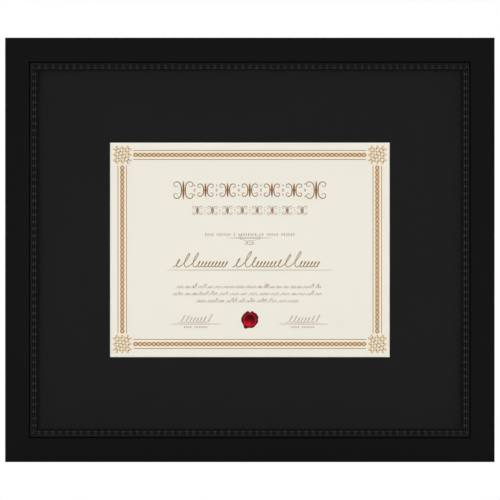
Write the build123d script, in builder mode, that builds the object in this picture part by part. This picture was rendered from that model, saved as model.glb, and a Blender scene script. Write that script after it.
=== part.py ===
from build123d import *
import math
import os

os.makedirs("parts", exist_ok=True)

# Certificate frame, landscape, hung on a wall by two D rings.
# Millimetres: +X to the viewer's right, +Z up, the face towards -Y.
# The origin is the middle of the bottom rail's underside.

# Certificate sheet
sheet_width = 279.4
sheet_height = 215.9
sheet_thickness = 0.3

# Mat: the overlap is measured at the mat's face, where the bevel starts
mat_thickness = 1.4
mat_overlap = 3.175
mat_border = 76.2

# Stack behind the mat
tab_thickness = 0.1
mounting_board_thickness = 4.7
backing_board_thickness = 3.0
glazing_thickness = 2.0
rabbet_clearance = 0.8

# Rail moulding, across its face from the outer edge to the sight edge
face_width = 32.5
lip_overlap = 7.15
lip_thickness = 7.55
outer_round = 1.2
groove_width = 1.4
groove_depth = 1.5
ridge_width = 1.7
ridge_drop = 0.35
bead_band_width = 4.3
slope_width = 1.9
slope_start = 1.3
slope_drop = 3.1

# Bead and reel
bead_radius = 2.05
bead_length = 4.3
reel_radius = 1.7
reel_length = 1.28
neck_radius = 1.35
reels_per_bead = 2

# V-nails
v_nail_wing = 5.0
v_nail_thickness = 0.5
v_nail_depth = 10.0
v_nail_place_shares = (0.3, 0.68)

# Tape inside the pack
hinge_tape_length = 300.0
hinge_tape_leaf = 15.0
hinge_tape_thickness = 0.15
sheet_tab_width = 25.0
sheet_tab_height = 30.0
sheet_tab_lap = 10.0
sheet_tab_bar_width = 50.0
sheet_tab_bar_height = 12.0
sheet_tab_spread_share = 0.3

# Wax seal
seal_radius = 8.4
seal_brim_height = 0.55
seal_brim_round = 0.25
seal_rim_radius = 6.1
seal_rim_height = 1.1
seal_rim_round = 0.4
seal_dish_radius = 4.7
seal_dish_depth = 0.45
seal_petal_length = 1.7
seal_petal_width = 1.1
seal_petal_height = 0.2
seal_petals = 8
seal_drop_share = 0.317
seal_outline_shares = (1.0, 0.93, 0.98, 1.03, 0.94, 0.99, 0.92, 1.0, 1.02, 1.08, 0.97, 0.93, 1.02, 0.95)

# Turn buttons
button_reach = 18.0
button_head_radius = 5.5
button_tip_radius = 4.0
button_thickness = 1.0
button_edge_round = 0.3
button_rib_length = 9.0
button_rib_width = 2.4
button_rib_height = 0.35
button_inset = 7.0
button_hole_clearance = 0.08
button_spread_share = 0.25
hardware_gap = 3.0

# Wood screws
screw_shank_radius = 1.4
screw_head_radius = 3.0
screw_head_height = 1.8
screw_head_round = 0.9
screw_bite = 12.0
screw_tip = 3.0
recess_width = 0.7
recess_length = 3.2
recess_depth = 0.9

# D-ring hangers
ring_wire_radius = 1.1
ring_half_width = 9.0
ring_height = 12.0
ring_bend_radius = 3.0
ring_crown_radius = 8.5
ring_rest_gap = 0.3
bar_clearance = 0.08
strap_thickness = 0.8
strap_width = 10.0
strap_screw_reach = 17.0
strap_end = 5.0
strap_end_round = 4.0
strap_hole_clearance = 0.05
hanger_height_share = 0.78

# Wall bumpers
bumper_radius = 5.0
bumper_height = 4.5
bumper_round = 0.8
bumper_inset = 22.0

# Sizes that follow from the ones above
window_width = sheet_width - 2 * mat_overlap
window_height = sheet_height - 2 * mat_overlap
pack_width = window_width + 2 * mat_border
pack_height = window_height + 2 * mat_border
back_width = face_width - lip_overlap
overall_width = pack_width + 2 * (rabbet_clearance + back_width)
overall_height = pack_height + 2 * (rabbet_clearance + back_width)
centre_z = overall_height / 2

sheet_gap = sheet_thickness + tab_thickness
boards_thickness = mounting_board_thickness + backing_board_thickness
rabbet_depth = glazing_thickness + mat_thickness + sheet_gap + boards_thickness
moulding_depth = lip_thickness + rabbet_depth
front_y = -moulding_depth / 2
back_y = moulding_depth / 2
glazing_y = front_y + lip_thickness
mat_y = glazing_y + glazing_thickness
sheet_y = mat_y + mat_thickness
mounting_y = sheet_y + sheet_gap
backing_y = mounting_y + mounting_board_thickness

to_front = (0, -1, 0)
to_back = (0, 1, 0)
right = (1, 0, 0)
up = (0, 0, 1)


def layer(y):
    # A plane across the frame at depth y: local X and Y are the frame's X and Z, its normal faces the front.
    return Plane(origin=(0, y, 0), x_dir=right, z_dir=to_front)


def finish(builder, name):
    builder.part.label = name
    export_step(builder.part, f"parts/{name}.step")


# V-nails: two across each mitre, driven flush from the back
with BuildPart() as corner_v_nails:
    with BuildSketch(layer(back_y)):
        for side in (-1, 1):
            for end in (-1, 1):
                for share in v_nail_place_shares:
                    apex_x = side * (overall_width / 2 - share * back_width)
                    apex_z = centre_z + end * (centre_z - share * back_width)
                    wing_x = apex_x - side * v_nail_wing
                    wing_z = apex_z - end * v_nail_wing
                    inner_x = apex_x - side * v_nail_thickness
                    inner_z = apex_z - end * v_nail_thickness
                    with BuildLine():
                        Polyline(
                            (apex_x, apex_z),
                            (wing_x, apex_z),
                            (wing_x, inner_z),
                            (inner_x, inner_z),
                            (inner_x, wing_z),
                            (apex_x, wing_z),
                            close=True,
                        )
                    make_face()
    extrude(amount=v_nail_depth)
finish(corner_v_nails, "corner_v_nails")


# Places of the hardware on the back, as (x, z) with the direction towards the middle of the frame
pivot_x = overall_width / 2 - back_width + button_inset
pivot_z_top = overall_height - back_width + button_inset
pivot_z_bottom = back_width - button_inset
button_spread = button_spread_share * overall_width
hanger_z = hanger_height_share * overall_height
hanger_x = overall_width / 2 - back_width / 2
strap_reach = strap_screw_reach + strap_end
side_button_z = hanger_z - strap_reach - hardware_gap - button_reach - button_tip_radius
button_places = {
    "turn_button_top_left": (-button_spread, pivot_z_top, (0, 0, -1)),
    "turn_button_top_right": (button_spread, pivot_z_top, (0, 0, -1)),
    "turn_button_right_upper": (pivot_x, side_button_z, (-1, 0, 0)),
    "turn_button_right_lower": (pivot_x, overall_height - side_button_z, (-1, 0, 0)),
    "turn_button_bottom_right": (button_spread, pivot_z_bottom, up),
    "turn_button_bottom_left": (-button_spread, pivot_z_bottom, up),
    "turn_button_left_lower": (-pivot_x, overall_height - side_button_z, right),
    "turn_button_left_upper": (-pivot_x, side_button_z, right),
}
hanger_places = {"left": -hanger_x, "right": hanger_x}


def make_screws(places, plate_thickness):
    # Pan-head wood screws whose heads seat on a plate of that thickness on the rails' backs.
    seat_y = back_y + plate_thickness
    tip_y = -plate_thickness - screw_bite
    crown = (screw_head_radius - screw_head_round, screw_head_height)
    shoulder = (screw_head_radius, screw_head_height - screw_head_round)
    with BuildPart() as screws:
        for x, z in places:
            with BuildSketch(Plane(origin=(x, seat_y, z), x_dir=right, z_dir=up)):
                with BuildLine():
                    Polyline(
                        crown,
                        (0, screw_head_height),
                        (0, tip_y),
                        (screw_shank_radius, tip_y + screw_tip),
                        (screw_shank_radius, 0),
                        (screw_head_radius, 0),
                        shoulder,
                    )
                    RadiusArc(shoulder, crown, -screw_head_round)
                make_face()
            revolve(axis=Axis((x, seat_y, z), to_back))
            with BuildSketch(Plane(origin=(x, seat_y + screw_head_height, z), x_dir=right, z_dir=to_front)):
                Rectangle(recess_length, recess_width)
                Rectangle(recess_width, recess_length)
            extrude(amount=recess_depth, mode=Mode.SUBTRACT)
    return screws


turn_button_screws = make_screws([place[:2] for place in button_places.values()], button_thickness)
finish(turn_button_screws, "turn_button_screws")
strap_screw_places = [(x, hanger_z - strap_screw_reach) for x in hanger_places.values()]
hanger_screws = make_screws(strap_screw_places, 2 * strap_thickness)
finish(hanger_screws, "hanger_screws")


# Rails: mitred, rabbeted moulding with a groove, a ridge, a channel for the beading, and a slope
slope_u = face_width - slope_width
bead_band_u = slope_u - bead_band_width
ridge_u = bead_band_u - ridge_width
groove_u = ridge_u - groove_width
ridge_shoulder = ridge_drop + ridge_width / 4
bead_line = bead_band_u + bead_band_width / 2
bead_axis_depth = ridge_drop + bead_radius
bead_pitch = bead_length + reels_per_bead * reel_length


def mitre_planes(inward, along, outer_middle, length):
    # The two 45 degree cuts of a rail, each with its normal towards the rail's middle.
    run = Vector(along)
    return [
        Plane(origin=Vector(outer_middle) + run * end * length / 2, z_dir=-(run * end + Vector(inward)))
        for end in (-1, 1)
    ]


def make_rail(inward, along, outer_middle, length):
    # outer_middle is the middle of the front outer edge; the section's X runs inward and its Y to the back.
    with BuildPart() as rail:
        with BuildSketch(Plane(origin=outer_middle, x_dir=inward, z_dir=along)):
            with BuildLine():
                RadiusArc((0, outer_round), (outer_round, 0), outer_round)
                Line((outer_round, 0), (groove_u, 0))
                Line((groove_u, 0), (groove_u + groove_width / 2, groove_depth))
                Line((groove_u + groove_width / 2, groove_depth), (ridge_u, ridge_shoulder))
                ridge_top = (ridge_u + ridge_width / 2, ridge_drop)
                ThreePointArc((ridge_u, ridge_shoulder), ridge_top, (bead_band_u, ridge_shoulder))
                Line((bead_band_u, ridge_shoulder), (bead_band_u, bead_axis_depth))
                Line((bead_band_u, bead_axis_depth), (slope_u, bead_axis_depth))
                Line((slope_u, bead_axis_depth), (slope_u, slope_start))
                Line((slope_u, slope_start), (face_width, slope_start + slope_drop))
                Line((face_width, slope_start + slope_drop), (face_width, lip_thickness))
                Line((face_width, lip_thickness), (back_width, lip_thickness))
                Line((back_width, lip_thickness), (back_width, moulding_depth))
                Line((back_width, moulding_depth), (0, moulding_depth))
                Line((0, moulding_depth), (0, outer_round))
            make_face()
        extrude(amount=length / 2, both=True)
        for cut in mitre_planes(inward, along, outer_middle, length):
            split(bisect_by=cut, keep=Keep.TOP)
        add(corner_v_nails.part, mode=Mode.SUBTRACT)
        add(turn_button_screws.part, mode=Mode.SUBTRACT)
        add(hanger_screws.part, mode=Mode.SUBTRACT)
    return rail


def make_beading(inward, along, outer_middle, length):
    # A half-round string of beads with reels between them, in the rail's channel and mitred with it.
    middle = Vector(outer_middle) + Vector(inward) * bead_line + Vector(0, bead_axis_depth, 0)
    turns = math.ceil((length / 2 - bead_line) / bead_pitch)
    first = -turns * bead_pitch - bead_length / 2
    with BuildPart() as beading:
        with BuildSketch(Plane(origin=middle, x_dir=along, z_dir=to_back)):
            with BuildLine():
                here = first
                arcs = []
                for piece in [bead_length] + 2 * turns * (reels_per_bead * [reel_length] + [bead_length]):
                    crown = (here + piece / 2, bead_radius if piece == bead_length else reel_radius)
                    ends = (here, neck_radius), (here + piece, neck_radius)
                    arcs.append(ThreePointArc(ends[0], crown, ends[1], mode=Mode.PRIVATE))
                    here += piece
                add(arcs)
                Polyline((here, neck_radius), (here, 0), (first, 0), (first, neck_radius))
            make_face()
        revolve(axis=Axis(middle, along), revolution_arc=-180)
        for cut in mitre_planes(inward, along, outer_middle, length):
            split(bisect_by=cut, keep=Keep.TOP)
    return beading


rail_places = {
    "bottom": (up, (-1, 0, 0), (0, front_y, 0), overall_width),
    "top": ((0, 0, -1), right, (0, front_y, overall_height), overall_width),
    "left": (right, up, (-overall_width / 2, front_y, centre_z), overall_height),
    "right": ((-1, 0, 0), (0, 0, -1), (overall_width / 2, front_y, centre_z), overall_height),
}
for side, place in rail_places.items():
    finish(make_rail(*place), f"rail_{side}")
    finish(make_beading(*place), f"beading_{side}")


# Flat sheets and boards in the rabbet
def make_board(front, thickness, width, height):
    with BuildPart() as board:
        with BuildSketch(layer(front + thickness)):
            with Locations((0, centre_z)):
                Rectangle(width, height)
        extrude(amount=thickness)
    return board


glazing = make_board(glazing_y, glazing_thickness, pack_width, pack_height)
finish(glazing, "glazing")
certificate_sheet = make_board(sheet_y, sheet_thickness, sheet_width, sheet_height)
finish(certificate_sheet, "certificate_sheet")
mounting_board = make_board(mounting_y, mounting_board_thickness, pack_width, pack_height)
finish(mounting_board, "mounting_board")
backing_board = make_board(backing_y, backing_board_thickness, pack_width, pack_height)
finish(backing_board, "backing_board")

# Mat: the window narrows by the mat's thickness, a 45 degree bevel
with BuildPart() as mat_board:
    with BuildSketch(layer(sheet_y)):
        with Locations((0, centre_z)):
            Rectangle(pack_width, pack_height)
    extrude(amount=mat_thickness)
    with BuildSketch(layer(mat_y)):
        with Locations((0, centre_z)):
            Rectangle(window_width, window_height)
    with BuildSketch(layer(sheet_y)):
        with Locations((0, centre_z)):
            Rectangle(window_width - 2 * mat_thickness, window_height - 2 * mat_thickness)
    loft(mode=Mode.SUBTRACT)
finish(mat_board, "mat_board")

# Folded tape between the mat and the mounting board, along their top edges
with BuildPart() as mat_hinge_tape:
    fold_z = centre_z + pack_height / 2
    leaf_gap = sheet_gap - 2 * hinge_tape_thickness
    with BuildSketch(Plane(origin=(0, sheet_y, fold_z), x_dir=to_back, z_dir=right)):
        with Locations((sheet_gap / 2, -hinge_tape_leaf / 2)):
            Rectangle(sheet_gap, hinge_tape_leaf)
        with Locations((sheet_gap / 2, -hinge_tape_thickness - hinge_tape_leaf / 2)):
            Rectangle(leaf_gap, hinge_tape_leaf, mode=Mode.SUBTRACT)
    extrude(amount=hinge_tape_length / 2, both=True)
finish(mat_hinge_tape, "mat_hinge_tape")

# T-hinges behind the top edge of the sheet
with BuildPart() as sheet_hinge_tabs:
    tab_bottom = centre_z + sheet_height / 2 - sheet_tab_lap
    tab_top = tab_bottom + sheet_tab_height
    with BuildSketch(layer(mounting_y)):
        for side in (-1, 1):
            tab_x = side * sheet_tab_spread_share * sheet_width
            with Locations((tab_x, tab_bottom + sheet_tab_height / 2)):
                Rectangle(sheet_tab_width, sheet_tab_height)
            with Locations((tab_x, tab_top - sheet_tab_bar_height / 2)):
                Rectangle(sheet_tab_bar_width, sheet_tab_bar_height)
    extrude(amount=tab_thickness)
finish(sheet_hinge_tabs, "sheet_hinge_tabs")

# Wax seal: a pressed, lobed blob with a raised rim and a small rosette in its dish
with BuildPart() as wax_seal:
    seal_z = centre_z - seal_drop_share * sheet_height
    seal_base = Plane(origin=(0, sheet_y, seal_z), x_dir=right, z_dir=to_front)
    lobe_turn = 360 / len(seal_outline_shares)
    lobes = [
        Vector(seal_radius * share, 0).rotate(Axis.Z, index * lobe_turn)
        for index, share in enumerate(seal_outline_shares)
    ]
    with BuildSketch(seal_base):
        with BuildLine():
            Spline(*lobes, periodic=True)
        make_face()
    extrude(amount=seal_brim_height)
    fillet(faces().sort_by(Axis.Y)[0].edges(), radius=seal_brim_round)
    with BuildSketch(seal_base):
        Circle(seal_rim_radius)
    extrude(amount=seal_rim_height)
    fillet(faces().sort_by(Axis.Y)[0].edges(), radius=seal_rim_round)
    with BuildSketch(seal_base.offset(seal_rim_height)):
        Circle(seal_dish_radius)
    extrude(amount=-seal_dish_depth, mode=Mode.SUBTRACT)
    with BuildSketch(seal_base.offset(seal_rim_height - seal_dish_depth)):
        with PolarLocations(seal_petal_length, seal_petals):
            Ellipse(seal_petal_length / 2, seal_petal_width / 2)
    extrude(amount=seal_petal_height)
finish(wax_seal, "wax_seal")


# Turn buttons: a tapered plate with a pressed rib, turning on its screw
def make_turn_button(x, z, inward):
    seat = Plane(origin=(x, back_y, z), x_dir=inward, z_dir=to_back)
    with BuildPart() as button:
        with BuildSketch(seat):
            Circle(button_head_radius)
            with Locations((button_reach, 0)):
                Circle(button_tip_radius)
            make_hull()
            Circle(screw_shank_radius + button_hole_clearance, mode=Mode.SUBTRACT)
        extrude(amount=button_thickness)
        fillet(button.faces().sort_by(Axis.Y)[-1].outer_wire().edges(), radius=button_edge_round)
        with BuildSketch(seat.offset(button_thickness)):
            with Locations(((button_reach + screw_head_radius + button_tip_radius) / 2, 0)):
                SlotOverall(button_rib_length, button_rib_width)
        extrude(amount=button_rib_height)
    return button


for node, (x, z, inward) in button_places.items():
    finish(make_turn_button(x, z, inward), node)

# Hanger straps: a steel strip folded round the ring's bar, its two leaves screwed to the rail
loop_inner_radius = ring_wire_radius + bar_clearance
loop_outer_radius = loop_inner_radius + strap_thickness
ring_lean = math.degrees(math.asin((loop_outer_radius - ring_wire_radius - ring_rest_gap) / ring_height))


def make_strap(x):
    with BuildPart() as strap:
        with BuildSketch(Plane(origin=(x, back_y, hanger_z), x_dir=to_back, z_dir=right)):
            with Locations((strap_thickness, -strap_reach / 2)):
                Rectangle(2 * strap_thickness, strap_reach)
            with Locations((loop_outer_radius, 0)):
                Circle(loop_outer_radius)
                Circle(loop_inner_radius, mode=Mode.SUBTRACT)
        extrude(amount=strap_width / 2, both=True)
        fillet(strap.edges().filter_by(Axis.Y).group_by(Axis.Z)[0], radius=strap_end_round)
        with BuildSketch(layer(back_y)):
            with Locations((x, hanger_z - strap_screw_reach)):
                Circle(screw_shank_radius + strap_hole_clearance)
        extrude(amount=-2 * strap_thickness, mode=Mode.SUBTRACT)
    return strap


# D rings: at rest upright, leaning on the rail
def make_ring(x):
    pivot = (x, back_y + loop_outer_radius, hanger_z)
    ring_plane = Plane(origin=pivot, x_dir=right, z_dir=to_front).rotated((ring_lean, 0, 0))
    with BuildPart() as ring:
        with BuildLine(ring_plane) as wire_path:
            FilletPolyline(
                (-ring_half_width, 0),
                (ring_half_width, 0),
                (ring_half_width, ring_height),
                (-ring_half_width, ring_height),
                radius=[ring_bend_radius, ring_bend_radius, ring_crown_radius, ring_crown_radius],
                close=True,
            )
        route = wire_path.wires()[0]
        with BuildSketch(Plane(origin=route @ 0, z_dir=route % 0)):
            Circle(ring_wire_radius)
        sweep(path=route)
    return ring


for side, x in hanger_places.items():
    finish(make_strap(x), f"hanger_strap_{side}")
    finish(make_ring(x), f"hanger_ring_{side}")


# Wall bumpers: soft pads at the lower back corners
def make_bumper(x):
    with BuildPart() as bumper:
        with BuildSketch(layer(back_y)):
            with Locations((x, back_width / 2)):
                Circle(bumper_radius)
        extrude(amount=-bumper_height)
        fillet(bumper.edges().filter_by(GeomType.CIRCLE).sort_by(Axis.Y)[-1], radius=bumper_round)
    return bumper


for side, sign in (("left", -1), ("right", 1)):
    finish(make_bumper(sign * (overall_width / 2 - bumper_inset)), f"wall_bumper_{side}")
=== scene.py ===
# Certificate frame: finishes, print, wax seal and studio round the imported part
import math
import random

import bmesh
import bpy
from mathutils import Matrix, Vector


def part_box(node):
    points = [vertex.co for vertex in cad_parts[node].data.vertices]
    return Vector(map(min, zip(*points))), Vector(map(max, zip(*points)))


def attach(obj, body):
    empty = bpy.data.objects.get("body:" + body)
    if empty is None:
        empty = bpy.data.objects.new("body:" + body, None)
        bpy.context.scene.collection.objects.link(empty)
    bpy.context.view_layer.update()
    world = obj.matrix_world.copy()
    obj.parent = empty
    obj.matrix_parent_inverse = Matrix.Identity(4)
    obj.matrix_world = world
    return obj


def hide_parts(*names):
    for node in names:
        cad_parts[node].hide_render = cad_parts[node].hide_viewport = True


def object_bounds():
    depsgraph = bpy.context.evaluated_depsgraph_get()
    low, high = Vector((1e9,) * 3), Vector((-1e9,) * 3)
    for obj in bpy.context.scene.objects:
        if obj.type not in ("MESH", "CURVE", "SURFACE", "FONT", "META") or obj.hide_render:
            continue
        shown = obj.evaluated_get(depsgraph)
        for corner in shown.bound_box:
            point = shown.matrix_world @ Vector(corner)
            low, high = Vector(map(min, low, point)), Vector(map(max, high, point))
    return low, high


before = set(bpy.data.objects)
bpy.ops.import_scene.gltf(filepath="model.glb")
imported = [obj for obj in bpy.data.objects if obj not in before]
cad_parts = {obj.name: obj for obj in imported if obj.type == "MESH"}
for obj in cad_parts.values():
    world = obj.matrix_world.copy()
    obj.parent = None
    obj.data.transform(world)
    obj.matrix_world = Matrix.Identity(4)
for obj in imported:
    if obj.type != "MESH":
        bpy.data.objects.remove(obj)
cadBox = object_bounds()
mm = 0.001

# Places that the finishes and the print share, all read from the frame
cadLow, cadHigh = cadBox
centreZ = (cadLow.z + cadHigh.z) / 2
halfWidth = (cadHigh.x - cadLow.x) / 2
halfHeight = (cadHigh.z - cadLow.z) / 2
faceY, backY = (corner.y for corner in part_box("rail_top"))
matFace, matBack = (corner.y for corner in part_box("mat_board"))
sheetLow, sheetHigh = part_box("certificate_sheet")
beadLow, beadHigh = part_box("beading_left")
beadRadius = (beadHigh.x - beadLow.x) / 2
beadLine = beadLow.x + beadRadius + halfWidth
beadAxisY = beadHigh.y
print("frame loaded, overall", round(2 * halfWidth / mm, 2), "by", round(2 * halfHeight / mm, 2), "mm")


def addObject(name, shape, material):
    # Makes a bmesh an object at the origin, with its place in its mesh
    mesh = bpy.data.meshes.new(name)
    shape.to_mesh(mesh)
    shape.free()
    mesh.materials.append(material)
    piece = bpy.data.objects.new(name, mesh)
    bpy.context.scene.collection.objects.link(piece)
    return piece


# Node graphs written as sums
class Field:
    # One output of a node, used like a number
    def __init__(self, graph, socket):
        self.graph = graph
        self.socket = socket

    def maths(self, operation, *values):
        return self.graph.add("Math", dict(enumerate(values)), operation=operation)

    def __add__(self, other):
        return self.maths("ADD", self, other)

    def __radd__(self, other):
        return self.maths("ADD", other, self)

    def __sub__(self, other):
        return self.maths("SUBTRACT", self, other)

    def __rsub__(self, other):
        return self.maths("SUBTRACT", other, self)

    def __mul__(self, other):
        return self.maths("MULTIPLY", self, other)

    def __rmul__(self, other):
        return self.maths("MULTIPLY", other, self)

    def __truediv__(self, other):
        return self.maths("DIVIDE", self, other)

    def __rtruediv__(self, other):
        return self.maths("DIVIDE", other, self)

    def __pow__(self, other):
        return self.maths("POWER", self, other)

    def __abs__(self):
        return self.maths("ABSOLUTE", self)

    def __lt__(self, other):
        return self.maths("LESS_THAN", self, other)

    def __gt__(self, other):
        return self.maths("GREATER_THAN", self, other)

    def most(self, other):
        return self.maths("MAXIMUM", self, other)

    def sine(self):
        return self.maths("SINE", self)

    def fraction(self):
        return self.maths("FRACT", self)


class Graph:
    # The nodes of one material or world
    def __init__(self, tree):
        self.tree = tree

    def feed(self, socket, value):
        if isinstance(value, Field):
            self.tree.links.new(value.socket, socket)
        else:
            socket.default_value = value

    def add(self, kind, sockets=None, output=0, **settings):
        node = self.tree.nodes.new("ShaderNode" + kind)
        for key, value in settings.items():
            setattr(node, key, value)
        for key, value in (sockets or {}).items():
            self.feed(node.inputs[key], value)
        return Field(self, node.outputs[output])

    def mix(self, share, first, second):
        return self.add("Mix", {0: share, 6: first, 7: second}, output=2, data_type="RGBA")

    def ease(self, value, start, end):
        # 0 before start, 1 past end, smooth in between
        sockets = {"Value": value, "From Min": start, "From Max": end}
        return self.add("MapRange", sockets, interpolation_type="SMOOTHSTEP")


class Finish(Graph):
    # A material with its Principled shader, which reads the piece's own coordinates
    def __init__(self, name, **plain):
        self.material = bpy.data.materials.new(name)
        self.material.use_nodes = True
        super().__init__(self.material.node_tree)
        self.shader = self.tree.nodes["Principled BSDF"]
        self.place = self.add("TexCoord", output="Object")
        for key, value in plain.items():
            self.set(key, value)

    def set(self, socket, value):
        names = {"colour": "Base Color", "specular": "Specular IOR Level"}
        self.feed(self.shader.inputs[names.get(socket, socket.title())], value)

    def bump(self, height, depth):
        sockets = {"Strength": 1.0, "Distance": depth, "Height": height}
        self.feed(self.shader.inputs["Normal"], self.add("Bump", sockets))

    def axes(self):
        return [self.add("SeparateXYZ", {0: self.place}, output=axis) for axis in "XYZ"]

    def noise(self, scale, detail=3.0, roughness=0.55, vector=None):
        sockets = {"Vector": vector or self.place, "Scale": scale, "Detail": detail, "Roughness": roughness}
        return self.add("TexNoise", sockets)

    def strands(self, scale, detail=3.0):
        # Noise drawn out, with a scale for each axis
        return self.noise(1.0, detail, vector=self.add("Mapping", {"Vector": self.place, "Scale": scale}))

    def weave(self, pitch):
        # Threads of one pitch both ways, 0 to 1
        x, y, z = self.axes()
        turns = 2 * math.pi / pitch
        return (x * turns).sine() * (z * turns).sine() * 0.5 + 0.5


def bell(value, middle, width):
    # 1 at the middle, soon nothing past the width
    return math.exp(-((value - middle) / width) ** 2)


def lengthways(along, scales):
    # A small scale along the wood, a large one across it
    small, large = scales
    return [small if axis == along else large for axis in "xyz"]


# Black lacquer over wood, bare on the back of the rails
lacquer = {
    "black": (0.0063, 0.0063, 0.0063, 1),
    # the rails' lip tone, lighter than the flat
    "railLip": (0.0118, 0.0118, 0.0118, 1),
    # the beads' tone, left darker on the crests between the painted shoulder highlights
    "bead": (0.0040, 0.0040, 0.0040, 1),
    # painted highlight on the beads' shoulders
    "shoulder": (0.0410, 0.0410, 0.0410, 1),
    # painted shade for the groove and between the beads, also the tone of the mitre hairline
    "paintedShadeAndSeam": (0.0012, 0.0012, 0.0012, 1),
    "specular": {"railLip": 0.020, "bead": 0.050},
    "roughness": {"railLip": 0.40, "bead": 0.18},
    "roughnessSwing": {"grain": 0.14, "cloud": 0.08},
    # inwards from the outline, and back from the face
    "groove": (22.9 * mm, 24.6 * mm),
    "slope": 30.5 * mm,
    "slopeShare": 0.5,
    "grooveDepth": (0.3 * mm, 1.2 * mm),
    "lipDepth": 12 * mm,
    # shares of a bead's radius
    "shoulderHighlightRange": (0.18, 0.50),
    "neckShadeRange": (0.62, 0.97),
    "grain": (9.0, 260.0),
    "peel": 2200.0,
    "cloud": 22.0,
    "relief": 0.02 * mm,
    "seam": 0.10 * mm,
    "seamShade": 0.6,
}
bareWood = {
    "pale": (0.52, 0.37, 0.22, 1),
    "ring": (0.38, 0.245, 0.135, 1),
    "pore": (0.22, 0.13, 0.07, 1),
    "ringTurns": 900.0,
    "ringWander": 9.0,
    "bend": (3.0, 60.0),
    "fibre": (14.0, 520.0),
    "poreRange": (0.60, 0.72),
    "poreShade": 0.7,
    "seamShade": 0.8,
    "skin": 0.02 * mm,
    "overspray": 1.1 * mm,
    "ragged": 1.6 * mm,
    "raggedScale": 190.0,
    "roughness": 0.74,
}


def woodColour(finish, along, across, cloud, pores, seam):
    bent = finish.strands(lengthways(along, bareWood["bend"]))
    turns = across * bareWood["ringTurns"] + bent * bareWood["ringWander"]
    rings = turns.sine() * 0.5 + 0.5
    wood = finish.mix(rings * 0.55 + cloud * 0.3, bareWood["pale"], bareWood["ring"])
    wood = finish.mix(pores * bareWood["poreShade"], wood, bareWood["pore"])
    return finish.mix(seam * bareWood["seamShade"], wood, bareWood["pore"])


def lacquerFinish(name, along, lip):
    finish = Finish(name, specular=lacquer["specular"][lip])
    x, y, z = finish.axes()
    grain = finish.strands(lengthways(along, lacquer["grain"]), 4.0)
    peel = finish.noise(lacquer["peel"], 1.0)
    cloud = finish.noise(lacquer["cloud"], 2.0)

    # Hairline where two rails meet
    sideways = abs(x) - halfWidth
    upright = abs(z - centreZ) - halfHeight
    seam = abs(sideways - upright) < lacquer["seam"]
    edge = 0 - sideways.most(upright)
    depth = y - faceY
    grooveStart, grooveEnd = lacquer["groove"]
    # Past the groove the lip takes a second tone, half of it on the sight slope: lighter on the rails,
    # darker on the beads
    secondTone = (edge > grooveEnd) * (depth < lacquer["lipDepth"])
    secondTone = secondTone * (1 - (edge > lacquer["slope"]) * lacquer["slopeShare"])
    black = finish.mix(secondTone, lacquer["black"], lacquer[lip])
    if lip == "bead":
        # Painted highlights on the beads' shoulders, lighter than the darker tone left on their crests
        aside = (edge - beadLine) / beadRadius
        above = (y - beadAxisY) / beadRadius
        black = finish.mix(finish.ease(abs(aside), *lacquer["shoulderHighlightRange"]), black, lacquer["shoulder"])
        # Painted shade in the necks between the beads
        paintedShade = 1 - finish.ease((aside * aside + above * above) ** 0.5, *lacquer["neckShadeRange"])
    else:
        # Painted shade in the bottom of the groove
        paintedShade = finish.ease(depth, *lacquer["grooveDepth"]) * (edge > grooveStart) * (edge < grooveEnd)
    # The painted shade is laid over the lacquer, then the dark hairline at the mitres
    black = finish.mix(paintedShade, black, lacquer["paintedShadeAndSeam"])
    black = finish.mix(seam * lacquer["seamShade"], black, lacquer["paintedShadeAndSeam"])

    # Bare back with rings, pores and a ragged line of overspray
    pores = finish.ease(finish.strands(lengthways(along, bareWood["fibre"]), 2.0), *bareWood["poreRange"])
    wood = woodColour(finish, along, z if along == "x" else x, cloud, pores, seam)
    spray = bareWood["overspray"]
    ragged = finish.noise(bareWood["raggedScale"], 4.0) * bareWood["ragged"]
    bare = (y > backY - bareWood["skin"]) * finish.ease(edge - ragged, -0.2 * spray, spray)
    finish.set("colour", finish.mix(bare, black, wood))

    roughness = lacquer["roughness"][lip]
    swing = lacquer["roughnessSwing"]
    satin = roughness + (grain - 0.5) * swing["grain"] + (cloud - 0.5) * swing["cloud"]
    finish.set("roughness", satin + bare * (bareWood["roughness"] - roughness))
    relief = grain * (0.5 + bare * 1.5) + peel * (0.25 - bare * 0.2) - pores * bare - seam * 2.0
    finish.bump(relief, lacquer["relief"])
    return finish.material


# Black mat: dyed face paper over a pale core that shows in the bevel
matBoard = {
    "black": (0.0114, 0.0113, 0.0113, 1),
    "fleck": (0.0146, 0.0145, 0.0145, 1),
    "core": (0.86, 0.85, 0.80, 1),
    "ply": (0.66, 0.65, 0.60, 1),
    "specular": 0.03,
    "roughness": 0.93,
    # how far the mat covers the card
    "overlap": 3.175 * mm,
    "facePaper": 0.16 * mm,
    "cutMargin": 0.01 * mm,
    "plies": 4,
    "plySeam": (0.40, 0.5),
    "tooth": 1500.0,
    "fibre": (240.0, 900.0, 1300.0),
    "flecks": (0.62, 0.98),
    "relief": 0.02 * mm,
}


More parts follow.
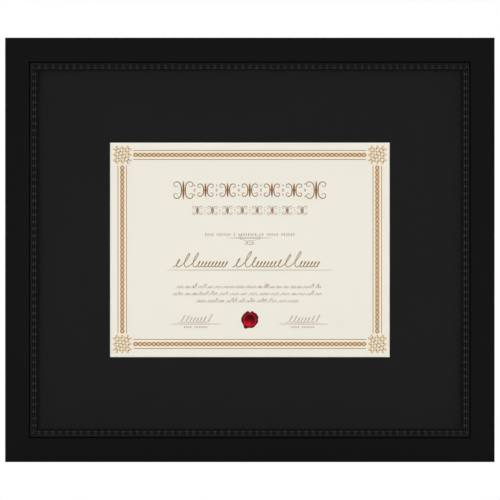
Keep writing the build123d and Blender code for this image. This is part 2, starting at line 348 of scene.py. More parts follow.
def matFinish():
    finish = Finish("matBoard", specular=matBoard["specular"], roughness=matBoard["roughness"])
    x, y, z = finish.axes()
    tooth = finish.noise(matBoard["tooth"], 3.0, 0.7)
    fibre = finish.strands(matBoard["fibre"], 2.0)
    flecks = finish.ease(tooth + fibre * 0.5, *matBoard["flecks"])
    face = finish.mix(flecks, matBoard["black"], matBoard["fleck"])
    windowHalfWidth = (sheetHigh.x - sheetLow.x) / 2 - matBoard["overlap"]
    windowHalfHeight = (sheetHigh.z - sheetLow.z) / 2 - matBoard["overlap"]
    outside = (abs(x) - windowHalfWidth).most(abs(z - centreZ) - windowHalfHeight)
    cut = (outside < matBoard["cutMargin"]) * (y > matFace + matBoard["facePaper"])
    plies = ((y - matFace) / (matBack - matFace) * matBoard["plies"]).fraction()
    seam = finish.ease(abs(plies - 0.5), *matBoard["plySeam"])
    core = finish.mix(seam * 0.35, matBoard["core"], matBoard["ply"])
    finish.set("colour", finish.mix(cut, face, core))
    finish.bump(tooth + fibre * 0.6, matBoard["relief"])
    return finish.material


# Cream card with a faint laid fibre
card = {
    "cream": (0.822, 0.789, 0.700, 1),
    "warm": (0.804, 0.771, 0.682, 1),
    "fibre": (0.772, 0.730, 0.628, 1),
    "specular": 0.15,
    "roughness": 0.72,
    "cloud": 60.0,
    "laid": (420.0, 700.0, 1900.0),
    "laidRange": (0.66, 0.80),
    "tooth": 2600.0,
    "relief": 0.008 * mm,
}


def cardFinish():
    finish = Finish("creamCard", specular=card["specular"], roughness=card["roughness"])
    laid = finish.strands(card["laid"])
    shade = finish.mix(finish.noise(card["cloud"]), card["cream"], card["warm"])
    finish.set("colour", finish.mix(finish.ease(laid, *card["laidRange"]) * 0.35, shade, card["fibre"]))
    finish.bump(laid * 0.5 + finish.noise(card["tooth"], 2.0), card["relief"])
    return finish.material


# Printing inks: even colour with a little mottle where the card takes less of it
inks = {
    "heading": (0.230, 0.095, 0.008, 1),
    "script": (0.236, 0.110, 0.020, 1),
    "tan": (0.285, 0.172, 0.080, 1),
    "lace": (0.470, 0.300, 0.130, 1),
    "leaf": (0.700, 0.575, 0.400, 1),
    "spot": (0.190, 0.102, 0.034, 1),
    "line": (0.300, 0.212, 0.126, 1),
    "peach": (0.740, 0.560, 0.370, 1),
    "halo": (0.900, 0.775, 0.605, 1),
    "faint": (0.235, 0.175, 0.105, 1),
}
inkMottle = {"scale": 1400.0, "range": (0.5, 0.75), "fade": 0.16, "specular": 0.12, "roughness": 0.5}


def inkFinish(name):
    finish = Finish("ink" + name.title(), specular=inkMottle["specular"])
    mottle = finish.noise(inkMottle["scale"])
    faded = finish.mix(inkMottle["fade"], inks[name], card["cream"])
    finish.set("colour", finish.mix(finish.ease(mottle, *inkMottle["range"]), inks[name], faded))
    finish.set("roughness", inkMottle["roughness"] + mottle * 0.15)
    return finish.material


# Sealing wax: painted shade in the dish and round the edge, a painted highlight on the rim, and a painted
# patch of light low on the left
wax = {
    # painted shade in the dish and at the edge
    "paintedShade": (0.080, 0.0006, 0.0010, 1),
    "skirt": (0.165, 0.002, 0.006, 1),
    # painted highlight on the rim
    "rimHighlight": (0.460, 0.022, 0.036, 1),
    # painted light in the patch low on the left
    "bright": (0.520, 0.007, 0.024, 1),
    "specular": 0.035,
    "roughness": 0.30,
    # shares of the seal's radius, across and up
    "dish": (0.52, 0.66),
    "rim": (0.60, 0.66, 0.70, 0.80),
    "edge": (0.80, 1.00),
    # centre of the painted patch of light
    "paintedLightPatch": (-0.27, -0.56),
    "paintedLightReach": (0.0, 0.86),
    "paintedLightShape": (0.75, 1.15),
    "paintedLightRagged": 0.9,
    "shades": {"cloud": 0.3, "edge": 0.80, "rim": 0.6},
    "cloud": 420.0,
    "cloudRange": (0.45, 0.65),
    "pitting": 1500.0,
    "relief": 0.12 * mm,
}


def waxFinish(centre, radius):
    finish = Finish("sealingWax", specular=wax["specular"])
    shades = wax["shades"]
    x, y, z = finish.axes()
    across = (x - centre.x) / radius
    upward = (z - centre.z) / radius
    reach = (across * across + upward * upward) ** 0.5
    cloud = finish.noise(wax["cloud"])
    rimStart, rimFull, rimFade, rimEnd = wax["rim"]
    rim = finish.ease(reach, rimStart, rimFull) * (1 - finish.ease(reach, rimFade, rimEnd))
    # A painted patch of light low on the left, with a ragged edge
    aside = (across - wax["paintedLightPatch"][0]) * wax["paintedLightShape"][0]
    below = (upward - wax["paintedLightPatch"][1]) * wax["paintedLightShape"][1]
    ragged = (aside * aside + below * below) ** 0.5 + (cloud - 0.5) * wax["paintedLightRagged"]
    paintedLightPatch = 1 - finish.ease(ragged, *wax["paintedLightReach"])
    # Painted shade in the dish, the wax's own red outside it
    colour = finish.mix(finish.ease(reach, *wax["dish"]), wax["paintedShade"], wax["skirt"])
    colour = finish.mix(finish.ease(cloud, *wax["cloudRange"]) * shades["cloud"], colour, wax["skirt"])
    # The painted light is laid over the wax
    colour = finish.mix(paintedLightPatch, colour, wax["bright"])
    # Painted shade round the edge
    colour = finish.mix(finish.ease(reach, *wax["edge"]) * shades["edge"], colour, wax["paintedShade"])
    # Painted highlight along the rim
    finish.set("colour", finish.mix(rim * shades["rim"], colour, wax["rimHighlight"]))
    finish.set("roughness", wax["roughness"] + cloud * 0.15)
    finish.bump(cloud + finish.noise(wax["pitting"], 2.0) * 0.3, wax["relief"])
    return finish.material


# Hardware steels: zinc on plates and buttons, nickel on the rings, yellow zinc on the screws
steels = {
    "zinc": {"bright": (0.60, 0.61, 0.60, 1), "dull": (0.43, 0.44, 0.43, 1), "roughness": 0.36},
    "nickel": {"bright": (0.64, 0.61, 0.56, 1), "dull": (0.47, 0.45, 0.41, 1), "roughness": 0.24},
    "screw": {"bright": (0.62, 0.57, 0.44, 1), "dull": (0.44, 0.38, 0.27, 1), "roughness": 0.32},
}
steelWear = {
    "cloud": 150.0,
    "brushed": (300.0, 900.0, 4200.0),
    "scratch": (180.0, 180.0, 3600.0),
    "scratchRange": (0.66, 0.74),
    "relief": 0.008 * mm,
}


def steelFinish(name):
    metal = steels[name]
    finish = Finish(name, metallic=1.0)
    cloud = finish.noise(steelWear["cloud"], 4.0)
    brushed = finish.strands(steelWear["brushed"], 2.0)
    scratch = finish.ease(finish.strands(steelWear["scratch"], 1.0), *steelWear["scratchRange"])
    finish.set("colour", finish.mix(cloud * 0.8 + scratch * 0.3, metal["bright"], metal["dull"]))
    finish.set("roughness", metal["roughness"] + (cloud - 0.5) * 0.25 + scratch * 0.12)
    finish.bump(brushed * 0.4 - scratch, steelWear["relief"])
    return finish.material


# Hardboard backing: dark fibres, a woven screen pattern pressed into the rough side
hardboard = {
    "base": (0.215, 0.118, 0.060, 1),
    "dark": (0.105, 0.055, 0.028, 1),
    "light": (0.34, 0.205, 0.115, 1),
    "specular": 0.3,
    "roughness": 0.70,
    "screen": 1.9 * mm,
    "fibre": 520.0,
    "fibreRange": (0.42, 0.70),
    "flecks": (160.0, 400.0, 900.0),
    "fleckRange": (0.60, 0.74),
    "cloud": 14.0,
    "relief": 0.10 * mm,
}


def hardboardFinish():
    finish = Finish("hardboard", specular=hardboard["specular"])
    screen = finish.weave(hardboard["screen"])
    fibre = finish.noise(hardboard["fibre"], 5.0, 0.7)
    flecks = finish.ease(finish.strands(hardboard["flecks"]), *hardboard["fleckRange"])
    cloud = finish.noise(hardboard["cloud"])
    dark = finish.ease(fibre, *hardboard["fibreRange"])
    colour = finish.mix(dark, hardboard["base"], hardboard["dark"])
    colour = finish.mix(flecks * 0.7, colour, hardboard["light"])
    colour = finish.mix((1 - screen) * 0.35 + cloud * 0.2, colour, hardboard["dark"])
    finish.set("colour", colour)
    finish.set("roughness", hardboard["roughness"] + fibre * 0.2)
    finish.bump(screen * 0.7 + fibre * 0.5, hardboard["relief"])
    return finish.material


# Foam-core board, linen tape and soft bumpers
foamBoard = {
    "paper": (0.86, 0.86, 0.84, 1),
    "foam": (0.80, 0.80, 0.78, 1),
    "specular": 0.25,
    "roughness": 0.75,
    "cells": 2400.0,
    "cellRange": (0.55, 0.75),
    "relief": 0.02 * mm,
}
linen = {
    "pale": (0.80, 0.78, 0.70, 1),
    "secondTone": (0.80, 0.80, 0.78, 1),
    "specular": 0.2,
    "roughness": 0.85,
    "thread": 0.45 * mm,
    "relief": 0.05 * mm,
}
bumper = {
    "rubber": (0.022, 0.022, 0.023, 1),
    "dust": (0.085, 0.082, 0.078, 1),
    "specular": 0.35,
    "roughness": 0.72,
    "grit": 1700.0,
    "cloud": 260.0,
    "dustRange": (0.5, 0.8),
    "relief": 0.05 * mm,
}


def boardFinish():
    finish = Finish("foamBoard", specular=foamBoard["specular"])
    cells = finish.noise(foamBoard["cells"], 2.0)
    share = finish.ease(cells, *foamBoard["cellRange"])
    finish.set("colour", finish.mix(share, foamBoard["paper"], foamBoard["foam"]))
    finish.set("roughness", foamBoard["roughness"] + cells * 0.15)
    finish.bump(cells, foamBoard["relief"])
    return finish.material


def tapeFinish():
    finish = Finish("linenTape", specular=linen["specular"], roughness=linen["roughness"])
    weave = finish.weave(linen["thread"])
    finish.set("colour", finish.mix(weave * 0.4, linen["pale"], linen["secondTone"]))
    finish.bump(weave, linen["relief"])
    return finish.material


def rubberFinish():
    finish = Finish("bumperRubber", specular=bumper["specular"])
    grit = finish.noise(bumper["grit"], 4.0, 0.7)
    dust = finish.ease(finish.noise(bumper["cloud"], 2.0), *bumper["dustRange"])
    finish.set("colour", finish.mix(dust * 0.6, bumper["rubber"], bumper["dust"]))
    finish.set("roughness", bumper["roughness"] + grit * 0.2)
    finish.bump(grit, bumper["relief"])
    return finish.material


# Clear pane: nearly nothing straight on, glossy at a glance
pane = {
    "tint": (0.02, 0.03, 0.025, 1),
    "specular": 0.5,
    "clear": 0.012,
    "glance": 0.55,
    "glancePower": 5.0,
    "roughness": 0.03,
    "wipe": 30.0,
}


def paneFinish():
    finish = Finish("clearPane", colour=pane["tint"], specular=pane["specular"])
    glance = finish.add("LayerWeight", {"Blend": 0.5}, output="Facing")
    finish.set("alpha", pane["clear"] + glance ** pane["glancePower"] * pane["glance"])
    finish.set("roughness", pane["roughness"] + finish.noise(pane["wipe"]) * 0.03)
    return finish.material


print("building finishes")
inkFinishes = {name: inkFinish(name) for name in inks}
finishNodes = (
    (lacquerFinish("lacquerAcross", "x", "railLip"), ("rail_top", "rail_bottom")),
    (lacquerFinish("lacquerUpright", "z", "railLip"), ("rail_left", "rail_right")),
    (lacquerFinish("beadLacquerAcross", "x", "bead"), ("beading_top", "beading_bottom")),
    (lacquerFinish("beadLacquerUpright", "z", "bead"), ("beading_left", "beading_right")),
    (matFinish(), ("mat_board",)),
    (cardFinish(), ("certificate_sheet",)),
    (paneFinish(), ("glazing",)),
    (boardFinish(), ("mounting_board",)),
    (hardboardFinish(), ("backing_board",)),
    (tapeFinish(), ("mat_hinge_tape", "sheet_hinge_tabs")),
    (rubberFinish(), ("wall_bumper_left", "wall_bumper_right")),
    (steelFinish("screw"), ("turn_button_screws", "hanger_screws")),
    (steelFinish("nickel"), ("hanger_ring_left", "hanger_ring_right")),
)
finishes = {node: finish for finish, nodes in finishNodes for node in nodes}
zinc = steelFinish("zinc")
# All other hardware is zinc
for node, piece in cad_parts.items():
    piece.data.materials.clear()
    piece.data.materials.append(finishes.get(node, zinc))


# Print on the card, drawn with strokes of one ink each; places are from the middle of the window
printing = {
    "shift": (-0.1 * mm, 0.4 * mm),
    "halo": 0.010 * mm,
    "tint": 0.040 * mm,
    "ink": 0.070 * mm,
    "seedInk": 0.098 * mm,
    "sunk": 0.02 * mm,
    "leastHalf": 0.01 * mm,
    "swellPower": 0.6,
    # small steps in height, so that crossing strokes never share a plane
    "strokeStep": 0.004 * mm,
    "pointStep": 0.0006 * mm,
}


class Pen:
    # Strokes of one ink, laid as flat ribbons that stand in the card
    def __init__(self, name, ink, height):
        self.name = name
        self.ink = ink
        self.height = height
        self.shape = bmesh.new()
        self.strokes = 0

    def corner(self, x, z, rise):
        shiftX, shiftZ = printing["shift"]
        return self.shape.verts.new((x + shiftX, sheetLow.y - rise, z + shiftZ + centreZ))

    def stroke(self, points, width, taper=0.0, closed=False):
        # taper 1 brings both ends down to nothing, 0 keeps the width
        last = len(points) - 1
        rows = []
        for index, (x, z) in enumerate(points):
            before = points[index - 1] if closed or index > 0 else points[0]
            after = points[(index + 1) % len(points)] if closed or index < last else points[last]
            run, climb = after[0] - before[0], after[1] - before[1]
            swell = math.sin(math.pi * index / last) ** printing["swellPower"] if taper else 1
            half = max(width / 2 * (1 - taper + taper * swell), printing["leastHalf"])
            half /= math.hypot(run, climb)
            across, up = -climb * half, run * half
            steps = self.strokes % 4 * printing["strokeStep"] + index % 20 * printing["pointStep"]
            top, foot = self.height + steps, -printing["sunk"]
            outline = ((-1, foot), (-1, top), (1, top), (1, foot))
            rows.append([self.corner(x + side * across, z + side * up, rise) for side, rise in outline])
        for first, second in zip(rows, rows[1:] + rows[:1] if closed else rows[1:]):
            for one, other in ((0, 1), (1, 2), (2, 3), (3, 0)):
                self.shape.faces.new((second[one], second[other], first[other], first[one]))
        if not closed:
            self.shape.faces.new(rows[0])
            self.shape.faces.new(rows[-1][::-1])
        self.strokes += 1

    def pair(self, points, width, taper=0.0):
        # The stroke and its mirror image in the upright middle line
        self.stroke(points, width, taper)
        self.stroke([(-x, z) for x, z in points], width, taper)

    def dot(self, x, z, size):
        self.stroke([(x + size * (step / 8 - 0.5), z) for step in range(9)], size, taper=1.0)

    def lay(self):
        piece = addObject(self.name, self.shape, inkFinishes[self.ink])
        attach(piece, "frame")


def level(middle, half, z, steps):
    # A level line, in as many steps
    return [(middle + half * (2 * step / steps - 1), z) for step in range(steps + 1)]


def spindle(x, z, tall):
    return [(x, z + tall * (step / 8 - 0.5)) for step in range(9)]


def diamond(x, z, halfX, halfZ):
    return [(x - halfX, z), (x, z + halfZ), (x + halfX, z), (x, z - halfZ)]


def scroll(bend, same, steps=60):
    # A line that curls more and more towards both its ends, one wide
    x = z = 0.0
    right = [(0.0, 0.0)]
    for step in range(steps):
        angle = bend * ((step + 0.5) / steps) ** 2
        x += math.cos(angle) / steps
        z += math.sin(angle) / steps
        right.append((x, z))
    sign = 1 if same else -1
    points = [(-x, sign * z) for x, z in reversed(right[1:])] + right
    width = max(x for x, z in points) - min(x for x, z in points)
    return [(x / width, z / width) for x, z in points]


def placed(points, centre, size, turn):
    # Sized, then turned by an angle in degrees
    midX, midZ = centre
    cos, sin = size * math.cos(math.radians(turn)), size * math.sin(math.radians(turn))
    return [(midX + x * cos - z * sin, midZ + x * sin + z * cos) for x, z in points]


# Border of a twisted chain on a tinted band, between two lines
border = {
    "outer": (128.65 * mm, 96.6 * mm),
    "band": (124.45 * mm, 92.3 * mm),
    "inner": (120.35 * mm, 87.85 * mm),
    "reach": (113.6 * mm, 81.9 * mm),
    "line": 0.68 * mm,
    "halo": 7.6 * mm,
    "tint": 4.3 * mm,
    "eye": 4.49 * mm,
    "eyeSteps": 12,
    "swing": 1.64 * mm,
    "flatten": 0.11,
    "strand": 0.90 * mm,
}


def chain(length, sign):
    eyes = round(2 * length / border["eye"])
    pitch = 2 * length / eyes
    flatten, steps = border["flatten"], border["eyeSteps"]
    points = []
    for step in range(steps * eyes + 1):
        # Nearly straight between its turns
        phase = math.pi * step / steps
        wave = (math.sin(phase) - flatten * math.sin(3 * phase)) / (1 + flatten)
        points.append((pitch * step / steps - length, sign * border["swing"] * wave))
    return points


def layBorder():
    halo = Pen("printBorderHalo", "halo", printing["halo"])
    tint = Pen("printBorderBand", "peach", printing["tint"])
    lines = Pen("printBorderLines", "line", printing["ink"])
    strands = Pen("printBorderChain", "tan", printing["ink"])
    reachX, reachZ = border["reach"]
    for side in (-1, 1):
        bandX, bandZ = side * border["band"][0], side * border["band"][1]
        for pen, width in ((halo, border["halo"]), (tint, border["tint"])):
            pen.stroke([(-reachX, bandZ), (reachX, bandZ)], width)
            pen.stroke([(bandX, -reachZ), (bandX, reachZ)], width)
        for halfX, halfZ in (border["outer"], border["inner"]):
            lines.stroke([(-reachX, side * halfZ), (reachX, side * halfZ)], border["line"])
            lines.stroke([(side * halfX, -reachZ), (side * halfX, reachZ)], border["line"])
        for sign in (-1, 1):
            strands.stroke([(along, bandZ + out) for along, out in chain(reachX, sign)], border["strand"])
            strands.stroke([(bandX + out, along) for along, out in chain(reachZ, sign)], border["strand"])
    for pen in (halo, tint, lines, strands):
        pen.lay()


# Corners: a square of petals on both sides of a pale diagonal
lace = {
    # along the diagonal and aside from it, in millimetres
    "reach": 12.5,
    "rows": (-9.5, -5.7, -1.9, 1.9, 5.7, 9.5),
    "ground": (1.8, 4.3, 6.8, 9.3),
    "gap": 0.55,
    "step": 3.9,
    "leastPetal": 1.4,
    "seedPlace": (1.9, 0.4),
    "diagonal": 0.7071,
    "groundWidth": 2.7 * mm,
    "petal": 3.0 * mm,
    "vein": 0.55 * mm,
    "seed": 1.6 * mm,
}


def cornerSpot(corner, along, aside):
    # A place in a corner ornament, run inwards along its diagonal, then to one side
    right, up, side = corner
    inward, sideways = along * mm * lace["diagonal"], side * aside * mm * lace["diagonal"]
    return right * (border["band"][0] - inward + sideways), up * (border["band"][1] - inward - sideways)


def layCorners():
    ground = Pen("printCornerGround", "halo", printing["halo"])
    petals = Pen("printCornerPetals", "leaf", printing["tint"])
    veins = Pen("printCornerVeins", "lace", printing["ink"])
    seeds = Pen("printCornerSeeds", "spot", printing["seedInk"])
    reach = lace["reach"]
    for corner in [(right, up, side) for right in (-1, 1) for up in (-1, 1) for side in (-1, 1)]:
        for aside in lace["ground"]:
            row = [cornerSpot(corner, (reach - aside) * step / 4, aside) for step in range(-4, 5)]
            ground.stroke(row, lace["groundWidth"], taper=0.4)
        for along in lace["rows"]:
            aside, end = lace["gap"], reach - abs(along)
            while end - aside > lace["leastPetal"]:
                length = min(lace["step"], end - aside)
                petal = [cornerSpot(corner, along, aside + length * step / 8) for step in range(9)]
                petals.stroke(petal, lace["petal"], taper=0.8)
                veins.stroke(petal[1:8], lace["vein"], taper=0.6)
                seedAlong = along + lace["seedPlace"][0]
                if aside + abs(seedAlong) < reach - 1:
                    seeds.dot(*cornerSpot(corner, seedAlong, aside + lace["seedPlace"][1]), lace["seed"])
                aside += length
    for pen in (ground, petals, veins, seeds):
        pen.lay()


# Heading: two friezes of leaves with scrolls, a row of small marks and a drop ornament
fleurParts = {
    # tall as shares of the frieze's height, wide as shares of its stroke
    "leafTall": 1.06,
    "leafWide": 2.4,
    "curlTall": 0.9,
    "curlWide": 1.15,
    "curlAside": 2.3,
    "collarReach": 2.7,
    "collarWide": 1.1,
    # lift and size of the lozenges between two leaves
    "pips": ((-0.336, 0.8), (0.0, 1.5), (0.336, 0.8)),
    "pipHalf": (0.6, 1.2),
    "pipWide": 0.7,
}
heading = {
    "title": {
        "z": 57.9 * mm, "tall": 13.6 * mm, "endTall": 18.0 * mm, "stroke": 0.84 * mm,
        "pitch": 21.6 * mm, "count": 7,
    },
    "subtitle": {
        "z": 38.2 * mm, "tall": 8.8 * mm, "endTall": 8.8 * mm, "stroke": 0.47 * mm,
        "pitch": 14.6 * mm, "count": 8,
    },
    "marks": {"z": 14.5 * mm, "reach": 43.0 * mm, "tall": 3.2 * mm, "pitch": 2.3 * mm, "width": 0.43 * mm},
    "dropRule": {"z": 11.2 * mm, "reach": 22.5 * mm, "width": 0.7 * mm},
    "dropScroll": {"centre": (6.0 * mm, 9.3 * mm), "size": 8.5 * mm, "turn": 12, "width": 0.36 * mm},
    "dropRing": {"z": 6.6 * mm, "half": (3.2 * mm, 1.9 * mm), "width": 0.4 * mm, "dot": 1.1 * mm},
}
smallMarks = {
    # every how many marks one is left out, and which
    "gaps": ((9, 4), (14, 11)),
    # shares of the pitch and of the height
    "lozengeHalf": (0.28, 0.42),
    "uprightWide": 1.6,
}


def fleur(pen, x, z, tall, stroke):
    # A leaf with a scroll on each side, tied by a collar
    parts = fleurParts
    centre = (-stroke * parts["curlAside"], 0)
    curl = placed(scroll(2.0 * math.pi, True), centre, tall * parts["curlTall"], 90)
    pen.stroke(spindle(x, z, tall * parts["leafTall"]), stroke * parts["leafWide"], taper=1.0)
    pen.stroke(level(x, stroke * parts["collarReach"], z, 1), stroke * parts["collarWide"])
    for side in (-1, 1):
        mirrored = [(x + side * aside, z + lift) for aside, lift in curl]
        pen.stroke(mirrored, stroke * parts["curlWide"], taper=0.85)


def layFrieze(name, ink, row):
    pen = Pen(name, ink, printing["ink"])
    z, stroke, pitch, last = row["z"], row["stroke"], row["pitch"], row["count"] - 1
    for index in range(last + 1):
        x = pitch * (index - last / 2)
        tall = row["endTall"] if index in (0, last) else row["tall"]
        fleur(pen, x, z, tall, stroke)
        if index:
            for lift, share in fleurParts["pips"]:
                halfX, halfZ = (stroke * share * half for half in fleurParts["pipHalf"])
                pip = diamond(x - pitch / 2, z + lift * tall, halfX, halfZ)
                pen.stroke(pip, stroke * fleurParts["pipWide"], closed=True)
    pen.lay()


def layMarks(pen, middle, reach, z, tall, pitch, width):
    # A row of small lozenges and uprights in groups of unlike length
    count = int(2 * reach / pitch)
    shareX, shareZ = smallMarks["lozengeHalf"]
    for index in range(count + 1):
        x = middle + reach * (2 * index / count - 1)
        if any(index % every == place for every, place in smallMarks["gaps"]):
            continue
        if index % 3:
            pen.stroke(diamond(x, z, pitch * shareX, tall * shareZ), width, closed=True)
        else:
            pen.stroke(spindle(x, z, tall), width * smallMarks["uprightWide"], taper=0.5)


def layHeading():
    layFrieze("printTitleFrieze", "heading", heading["title"])
    layFrieze("printSubtitleFrieze", "script", heading["subtitle"])

    fine = Pen("printSmallRow", "faint", printing["ink"])
    layMarks(fine, middle=0, **heading["marks"])
    rule, curl, ring = heading["dropRule"], heading["dropScroll"], heading["dropRing"]
    fine.stroke(level(0, rule["reach"], rule["z"], 16), rule["width"], taper=1.0)
    curls = placed(scroll(1.5 * math.pi, False), curl["centre"], curl["size"], curl["turn"])
    fine.pair(curls, curl["width"], taper=0.4)
    turns = [2 * math.pi * step / 32 for step in range(32)]
    halfX, halfZ = ring["half"]
    oval = [(halfX * math.cos(turn), ring["z"] + halfZ * math.sin(turn)) for turn in turns]
    fine.stroke(oval, ring["width"], closed=True)
    fine.dot(0, ring["z"], ring["dot"])
    fine.lay()


# Written part: pen loops on a rule, three lines of small waves, two signed rules
script = {
    # start, end and the places of the tall loops
    "words": (
        (-75.0 * mm, -23.0 * mm, (-66.0 * mm,)),
        (-17.0 * mm, 66.0 * mm, (-9.0 * mm, 34.0 * mm)),
    ),
    "base": -17.2 * mm,
    "loops": {"small": 5.4 * mm, "tall": 17.0 * mm, "spread": 7.0 * mm},
    # shares of a loop's height
    "slant": 0.55,
    "advance": 0.62,
    "bulge": 0.2,
    "loopSteps": 20,
    "stroke": 0.68 * mm,
    "ruleZ": -20.1 * mm,
    "ruleReach": 80.5 * mm,
    "rule": 0.46 * mm,
    "hair": 0.42 * mm,
}
fineLines = {
    # height and reach of each line
    "lines": ((-36.7 * mm, 71.8 * mm), (-43.5 * mm, 75.0 * mm), (-50.5 * mm, 52.2 * mm)),
    "tall": 2.3 * mm,
    "pitch": 3.5 * mm,
    "slant": 0.5,
    "seed": 11,
    # in millimetres
    "words": (3.5, 10.5),
    "spaces": (1.3, 2.1),
    # how often a wave has an upstroke, and how tall that is
    "upstroke": (0.22, 1.9),
    "unevenness": (0.8, 1.1),
}
signing = {
    "rules": ((-76.5 * mm, -27.7 * mm), (28.9 * mm, 76.3 * mm)),
    "ruleZ": -72.8 * mm,
    "base": -71.6 * mm,
    "loops": {"small": 5.2 * mm, "tall": 8.6 * mm, "spread": 3.2 * mm},
    "stroke": 0.3024 * mm,
    # shares of half a rule, from its middle
    "start": -0.72,
    "end": 0.44,
    "swellsIn": (2 * mm, 3 * mm),
    "caption": {
        "z": -75.8 * mm, "reach": 11.5 * mm, "tall": 1.9 * mm, "pitch": 2.0 * mm, "width": 0.42 * mm,
    },
}


def loops(start, end, base, swells, small, tall, spread):
    # A pen line of slanted loops on a base line; the loops grow tall at each swell
    steps, advance = script["loopSteps"], script["advance"]
    points = []
    x = start
    while x < end:
        height = small + (tall - small) * max(bell(x, swell, spread) for swell in swells)
        for step in range(steps):
            phase = 2 * math.pi * step / steps
            lift = height * (1 - math.cos(phase)) / 2
            across = height * (advance * step / steps + script["bulge"] * math.sin(phase))
            points.append((x + across + lift * script["slant"], base + lift))
        x += height * advance
    return points


def scribble(pen, rng, z, reach):
    # Words of small slanted waves, some of them with a longer upstroke
    tall, pitch = fineLines["tall"], fineLines["pitch"]
    often, taller = fineLines["upstroke"]
    x = -reach
    while x < reach - 2 * pitch:
        length = min(rng.uniform(*fineLines["words"]) * mm, reach - x)
        waves = max(round(length / pitch), 2)
        rise = []
        for wave in range(waves):
            upstroke = taller if rng.random() < often else 1
            rise.append(tall * upstroke * rng.uniform(*fineLines["unevenness"]))
        points = []
        for step in range(8 * waves + 1):
            lift = rise[min(step // 8, waves - 1)] * (1 - math.cos(2 * math.pi * step / 8)) / 2
            across = length * step / (8 * waves) + lift * fineLines["slant"]
            points.append((x + across, z - tall / 2 + lift))
        pen.stroke(points, script["hair"])
        x += length + rng.uniform(*fineLines["spaces"]) * mm


def layScript():
    pen = Pen("printPenFlourish", "script", printing["ink"])
    for start, end, swells in script["words"]:
        pen.stroke(loops(start, end, script["base"], swells, **script["loops"]), script["stroke"])
    pen.stroke(level(0, script["ruleReach"], script["ruleZ"], 8), script["rule"], taper=0.5)
    pen.lay()

    fine = Pen("printFineLines", "script", printing["ink"])
    rng = random.Random(fineLines["seed"])
    for z, reach in fineLines["lines"]:
        scribble(fine, rng, z, reach)
    fine.lay()

    signs = Pen("printSignRules", "script", printing["ink"])
    for start, end in signing["rules"]:
        middle, half = (start + end) / 2, (end - start) / 2
        signs.stroke(level(middle, half, signing["ruleZ"], 8), script["rule"], taper=0.5)
        first, last = middle + signing["start"] * half, middle + signing["end"] * half
        swells = (first + signing["swellsIn"][0], last - signing["swellsIn"][1])
        signs.stroke(loops(first, last, signing["base"], swells, **signing["loops"]), signing["stroke"])
        layMarks(signs, middle, **signing["caption"])
    signs.lay()


print("laying the print")
layBorder()
layCorners()
layHeading()
layScript()


# Wax seal: a spun drop of wax, pushed out into lobes, with a pressed dish and a small rosette
seal = {
    "size": 0.97,
    # share of the radius, share of the height
    "profile": (
        (0.0, 0.50), (0.16, 0.52), (0.34, 0.50), (0.47, 0.50), (0.55, 0.58),
        (0.60, 0.80), (0.65, 0.96), (0.70, 1.0), (0.75, 0.94), (0.79, 0.74),
        (0.83, 0.62), (0.89, 0.58), (0.95, 0.48), (0.99, 0.28), (1.0, 0.0),
    ),
    "steps": 128,
    # degrees from the viewer's right, push as a share of the radius, width in degrees
    "lobes": (
        (107, 0.07, 9), (88, -0.15, 7), (72, 0.07, 9), (37, 0.05, 14), (15, 0.05, 10),
        (0, -0.06, 7), (348, 0.03, 9), (320, -0.04, 18), (288, 0.02, 14),
        (264, -0.05, 8), (240, 0.20, 15), (211, -0.03, 10), (180, 0.04, 20),
    ),
    "lobesFrom": 0.55,
    "lobePower": 1.5,
    "crimp": {"push": 0.006, "count": 11},
    # place and width as shares of the radius, rise as a share of the height
    "rosette": {"place": 0.24, "width": 0.13, "rise": 0.26, "petals": 8},
    "ripple": {"place": 0.72, "width": 0.10, "rise": 0.08, "count": 3, "turn": 30},
    "pressed": (0.01, 0.97),
}


def lobePush(angle):
    # How far the rim is pushed out at an angle, as a share of the radius
    push = seal["crimp"]["push"] * math.sin(math.radians(seal["crimp"]["count"] * angle))
    for middle, amount, width in seal["lobes"]:
        push += amount * bell((angle - middle + 180) % 360 - 180, 0, width)
    return push


def makeSeal():
    sealLow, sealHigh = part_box("wax_seal")
    centre = (sealLow + sealHigh) / 2
    radius = (sealHigh.x - sealLow.x) / 2 * seal["size"]
    height = sealHigh.y - sealLow.y
    rosette, ripple = seal["rosette"], seal["ripple"]
    shape = bmesh.new()
    spots = [shape.verts.new((share * radius, -lift * height, 0)) for share, lift in seal["profile"]]
    edges = [shape.edges.new(ends) for ends in zip(spots, spots[1:])]
    bmesh.ops.spin(
        shape, geom=spots + edges, axis=(0, 1, 0), cent=(0, 0, 0),
        angle=2 * math.pi, steps=seal["steps"], use_merge=True,
    )
    bmesh.ops.remove_doubles(shape, verts=shape.verts, dist=0.001 * mm)
    for vertex in shape.verts:
        angle = math.degrees(math.atan2(vertex.co.z, vertex.co.x)) % 360
        reach = math.hypot(vertex.co.x, vertex.co.z) / radius
        outer = min(max((reach - seal["lobesFrom"]) / (1 - seal["lobesFrom"]), 0), 1)
        grow = 1 + lobePush(angle) * outer ** seal["lobePower"]
        vertex.co.x *= grow
        vertex.co.z *= grow
        petal = max(math.cos(math.radians(rosette["petals"] * angle)), 0)
        wave = math.sin(math.radians(ripple["count"] * angle + ripple["turn"]))
        rise = rosette["rise"] * petal * bell(reach, rosette["place"], rosette["width"])
        rise += ripple["rise"] * wave * bell(reach, ripple["place"], ripple["width"])
        if seal["pressed"][0] < reach < seal["pressed"][1]:
            vertex.co.y -= height * rise
    floor = bmesh.ops.contextual_create(shape, geom=[edge for edge in shape.edges if edge.is_boundary])
    bmesh.ops.recalc_face_normals(shape, faces=shape.faces)
    for face in shape.faces:
        face.smooth = face not in floor["faces"]
    piece = addObject("waxSeal", shape, waxFinish(centre, radius))
    piece.data.transform(Matrix.Translation((centre.x, sealHigh.y, centre.z)))
    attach(piece, "frame")
    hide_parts("wax_seal")


print("pressing the seal")
makeSeal()


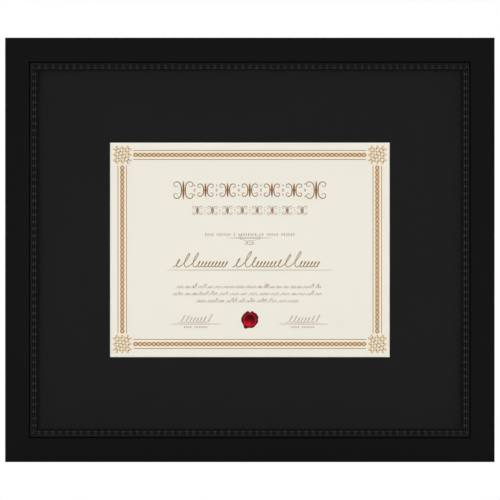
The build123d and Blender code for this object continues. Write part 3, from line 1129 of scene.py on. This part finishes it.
# Studio: pale floor, white surround for what the camera and the gloss see, soft lamps
studio = {
    "picture": 488.04 * mm,
    "aside": 0.13 * mm,
    "below": 0.12 * mm,
    "distance": 3.0,
    "floor": (0.86, 0.86, 0.86, 1),
    "floorShade": (0.80, 0.80, 0.80, 1),
    "floorCloud": 9.0,
    "floorRadius": 3.0,
    "ambient": 0.38,
    # place, size across and up, watts, seen in the gloss
    "lamps": {
        "softboxFront": ((-0.1, -3.0, 0.22), (0.7, 0.7), 26.4, False),
        "stripLeft": ((-2.3, -1.9, 0.35), (0.25, 1.6), 6.8, True),
        "stripRight": ((2.3, -1.9, 0.35), (0.25, 1.6), 6.5, True),
        "lowLeft": ((-0.35, -0.7, 0.09), (0.5, 0.1), 1.22, False),
        "lowRight": ((0.35, -0.7, 0.09), (0.5, 0.1), 1.22, False),
        "backLeft": ((-1.7, 1.6, 1.1), (1.0, 1.2), 18.0, True),
        "backRight": ((1.7, 1.6, 1.1), (1.0, 1.2), 18.0, True),
    },
}


def addCamera():
    data = bpy.data.cameras.new("camera")
    data.type = "ORTHO"
    data.ortho_scale = studio["picture"]
    camera = bpy.data.objects.new("camera", data)
    camera.location = (studio["aside"], -studio["distance"], centreZ - studio["below"])
    camera.rotation_euler = (math.pi / 2, 0, 0)
    bpy.context.scene.collection.objects.link(camera)
    bpy.context.scene.camera = camera


def addLamps():
    aim = Vector((0, 0, centreZ))
    for name, (place, size, watts, gloss) in studio["lamps"].items():
        data = bpy.data.lights.new(name, "AREA")
        data.shape = "RECTANGLE"
        data.size, data.size_y = size
        data.energy = watts
        lamp = bpy.data.objects.new(name, data)
        lamp.location = place
        lamp.rotation_euler = (aim - Vector(place)).to_track_quat("-Z", "Y").to_euler()
        lamp.visible_camera = False
        lamp.visible_glossy = gloss
        bpy.context.scene.collection.objects.link(lamp)


def addFloor():
    finish = Finish("studioFloor", specular=0.2, roughness=0.6)
    cloud = finish.noise(studio["floorCloud"], 2.0)
    finish.set("colour", finish.mix(cloud * 0.1, studio["floor"], studio["floorShade"]))
    shape = bmesh.new()
    bmesh.ops.create_circle(shape, cap_ends=True, segments=128, radius=studio["floorRadius"])
    addObject("studioFloor", shape, finish.material)


def addSurround():
    world = bpy.data.worlds.new("surround")
    world.use_nodes = True
    bpy.context.scene.world = world
    graph = Graph(world.node_tree)
    seen = graph.add("LightPath", output="Is Camera Ray")
    seen = seen.most(graph.add("LightPath", output="Is Glossy Ray"))
    seen = seen.most(graph.add("LightPath", output="Is Transmission Ray"))
    background = world.node_tree.nodes["Background"]
    background.inputs["Color"].default_value = (1, 1, 1, 1)
    graph.feed(background.inputs["Strength"], studio["ambient"] + seen * (1 - studio["ambient"]))


print("lighting the studio")
addCamera()
addLamps()
addFloor()
addSurround()
bpy.context.scene.view_settings.view_transform = "Standard"

print("scene ready")
